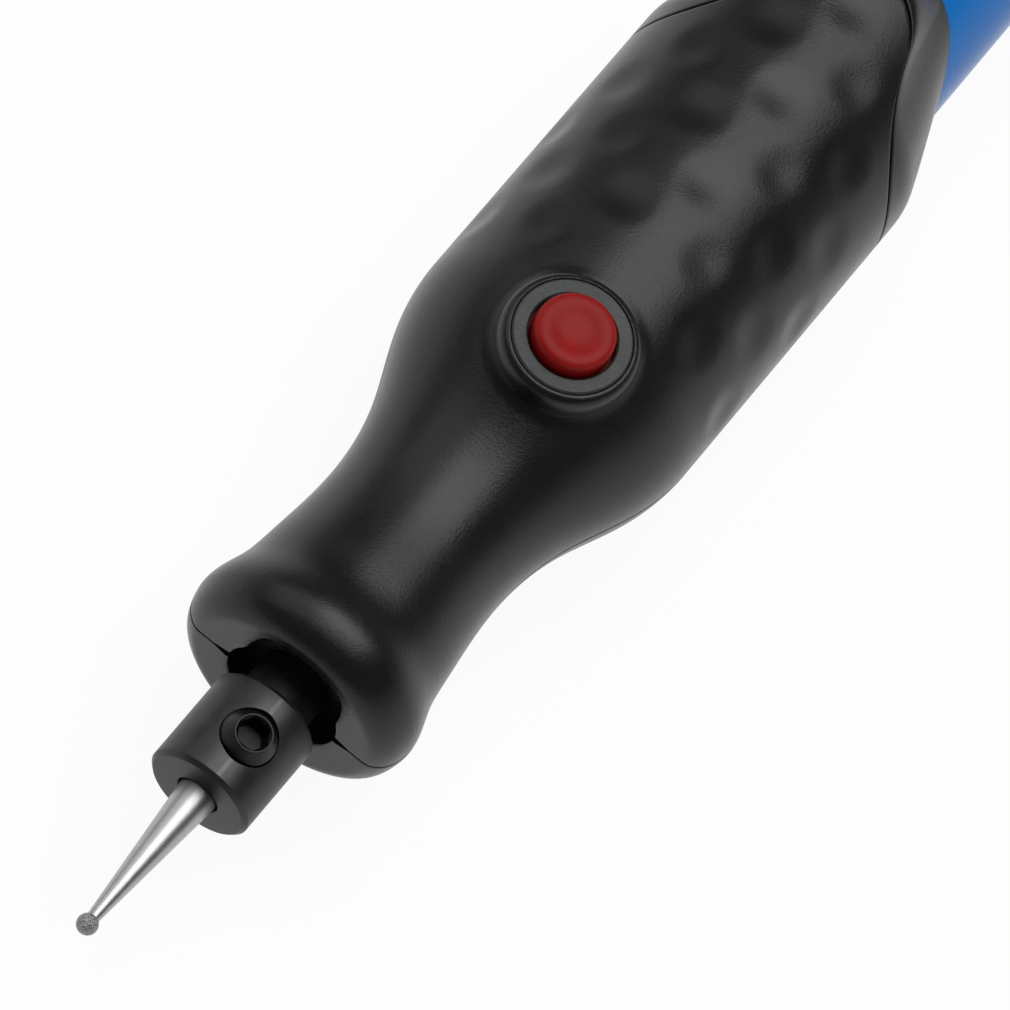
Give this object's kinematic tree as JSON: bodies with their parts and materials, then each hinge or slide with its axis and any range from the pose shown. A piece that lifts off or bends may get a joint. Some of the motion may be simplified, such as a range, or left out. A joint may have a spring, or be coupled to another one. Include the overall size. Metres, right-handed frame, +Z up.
{
  "type": "electric engraving pen",
  "caption": "Battery engraving pen: a motor in a dimpled grip spins a ball-tipped bur held in a screw chuck; a push button switches it, and a screw cap closes the cell tube.",
  "frame": {"origin": "middle of the pen's length, on its centre line, at its lowest point", "axes": "+X along the pen from the bur's tip to the tail cap, +Z up through the push button, +Y to the left of someone who looks along +X"},
  "size_m": [0.1644, 0.0212, 0.0226],
  "materials": {
    "black_housing": "satin-gloss moulded black, fine grain",
    "bezel_grey": "flat dark grey-black",
    "motor_steel": "zinc-plated drawn steel",
    "bronze": "sintered bronze",
    "ferrite": "sintered ferrite, matt",
    "motor_plastic": "moulded natural nylon",
    "contact_steel": "nickel-plated spring strip",
    "switch_black": "moulded matt black",
    "spring_steel": "nickel-plated spring wire",
    "blue_barrel": "polished bright blue",
    "red_lead": "soft red insulation",
    "black_lead": "soft black insulation",
    "shaft_steel": "ground steel",
    "core_iron": "stacked iron laminations",
    "copper_wire": "enamelled copper",
    "black_oxide_steel": "black-oxide turned steel",
    "screw_steel": "dark oiled steel",
    "polished_steel": "polished tapered steel",
    "diamond_grit": "nickel-bonded grit",
    "red_button": "satin moulded red",
    "white_plastic": "natural acetal",
    "cell_jacket": "plain dark shrink jacket",
    "nickel_brass": "turned brass",
    "seal_rubber": "nitrile seal"
  },
  "bodies": {
    "housing": {"upper_cover": "black_housing", "lower_body": "black_housing", "button_bezel": "bezel_grey", "motor_can": "motor_steel", "motor_front_bush": "bronze", "motor_magnets": "ferrite", "motor_end_cap": "motor_plastic", "motor_rear_bush": "bronze", "motor_brushes": "bronze", "motor_terminals": "contact_steel", "switch_housing": "switch_black", "switch_pins": "contact_steel", "button_spring": "spring_steel", "battery_tube": "blue_barrel", "return_strip": "contact_steel", "positive_contact": "contact_steel", "lead_motor_switch": "red_lead", "lead_switch_battery": "red_lead", "lead_return_motor": "black_lead"},
    "spindle": {"motor_shaft": "shaft_steel", "armature_core": "core_iron", "armature_windings": "copper_wire", "commutator": "copper_wire", "chuck": "black_oxide_steel"},
    "bur": {"bur_shank": "polished_steel", "bur_ball": "diamond_grit"},
    "set_screw": {"chuck_set_screw": "screw_steel"},
    "button": {"button_cap": "red_button", "switch_plunger": "white_plastic"},
    "cells": {"cell_front": "cell_jacket", "cell_rear": "cell_jacket"},
    "tail_contact": {"tail_spring": "spring_steel", "tail_contact_disc": "contact_steel"},
    "tail_cap": {"tail_cap": "black_housing", "cap_thread_sleeve": "nickel_brass", "cap_o_ring": "seal_rubber"}
  },
  "joints": [
    {"name": "spindle_spin", "type": "hinge", "parent": "housing", "child": "spindle", "pos_m": [-0.06644, 0, 0.0106], "axis": [1, 0, 0], "continuous": true},
    {"name": "bur_draw", "type": "slide", "parent": "spindle", "child": "bur", "axis": [-1, 0, 0], "range_m": [0, 0.008]},
    {"name": "set_screw_back_off", "type": "slide", "parent": "spindle", "child": "set_screw", "axis": [0, -0.1132, 0.9936], "range_m": [0, 0.0012]},
    {"name": "button_press", "type": "slide", "parent": "housing", "child": "button", "axis": [0, 0, -1], "range_m": [0, 0.001], "stiffness_N_per_m": 900, "springref_m": -0.0012, "deforming": ["button_spring"]},
    {"name": "cells_draw", "type": "slide", "parent": "housing", "child": "cells", "axis": [1, 0, 0], "range_m": [0, 0.092]},
    {"name": "tail_cap_advance", "type": "slide", "parent": "cells", "child": "tail_contact", "axis": [1, 0, 0], "range_m": [0, 0.0072]},
    {"name": "tail_cap_unscrew", "type": "hinge", "parent": "tail_contact", "child": "tail_cap", "pos_m": [0.07356, 0, 0.0106], "axis": [1, 0, 0], "range_deg": [0, 1730]}
  ],
  "couplings": [
    {"joint": "tail_cap_unscrew", "follows": "tail_cap_advance", "rad_per_m": 4188.8}
  ]
}
